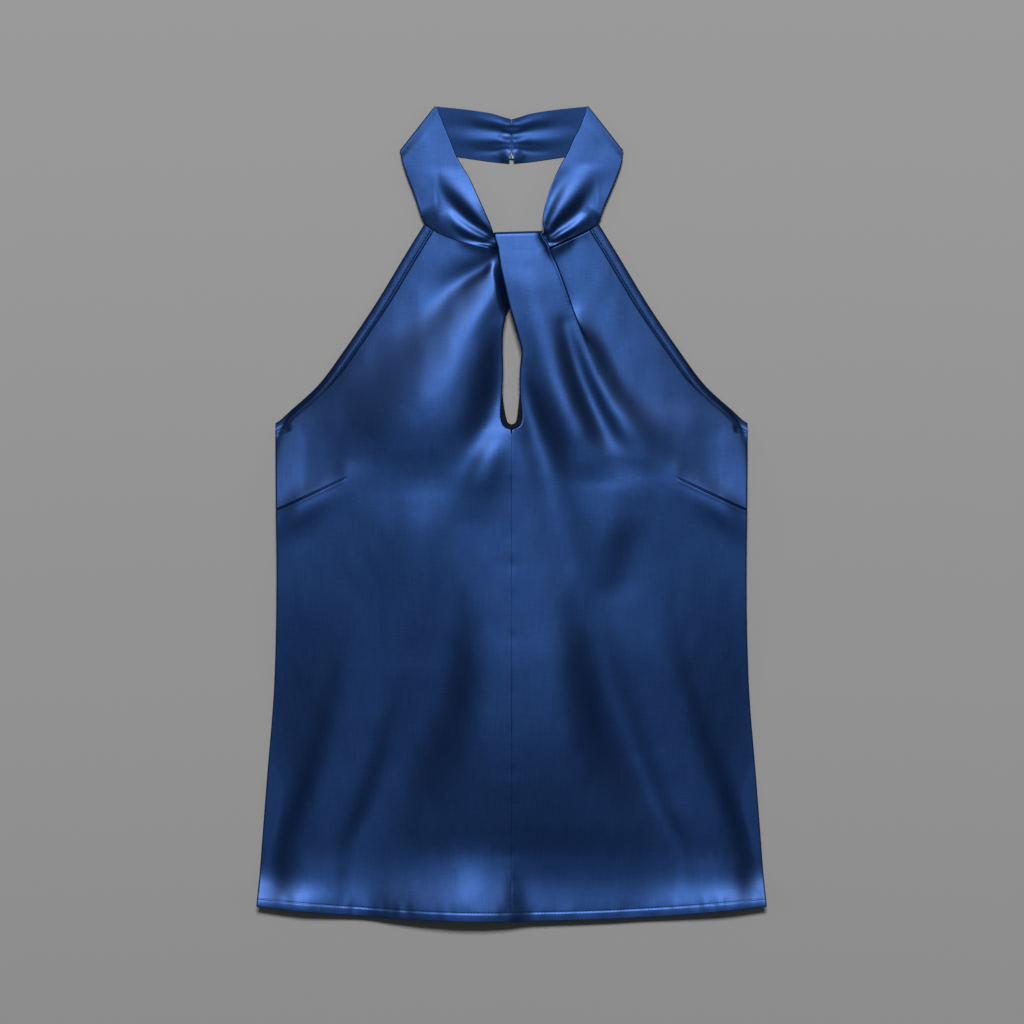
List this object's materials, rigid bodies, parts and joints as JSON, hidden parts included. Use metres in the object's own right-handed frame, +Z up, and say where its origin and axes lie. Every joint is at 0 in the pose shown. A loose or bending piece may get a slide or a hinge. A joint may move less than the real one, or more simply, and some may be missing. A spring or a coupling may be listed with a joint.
{
  "type": "halter neck top",
  "caption": "Sleeveless satin halter neck top with a twisted front, a keyhole and a band round the neck, laid flat on its back.",
  "frame": {"origin": "centre of the top's outline on the surface that it lies on", "axes": "+Y along the centre front towards the neck, +X towards the wearer's left, +Z up from the surface"},
  "size_m": [0.444, 0.711, 0.0124],
  "materials": {
    "satin": "royal blue polyester satin, soft sheen, fine twill-like weave",
    "hook_metal": "bright nickel-plated brass wire"
  },
  "bodies": {
    "root": {"front_right": "satin", "front_left": "satin", "back": "satin", "neck_band_right": "satin", "neck_band_left": "satin", "armhole_binding_right": "satin", "armhole_binding_left": "satin", "keyhole_facing": "satin", "hook": "hook_metal", "eye": "hook_metal"}
  },
  "joints": []
}
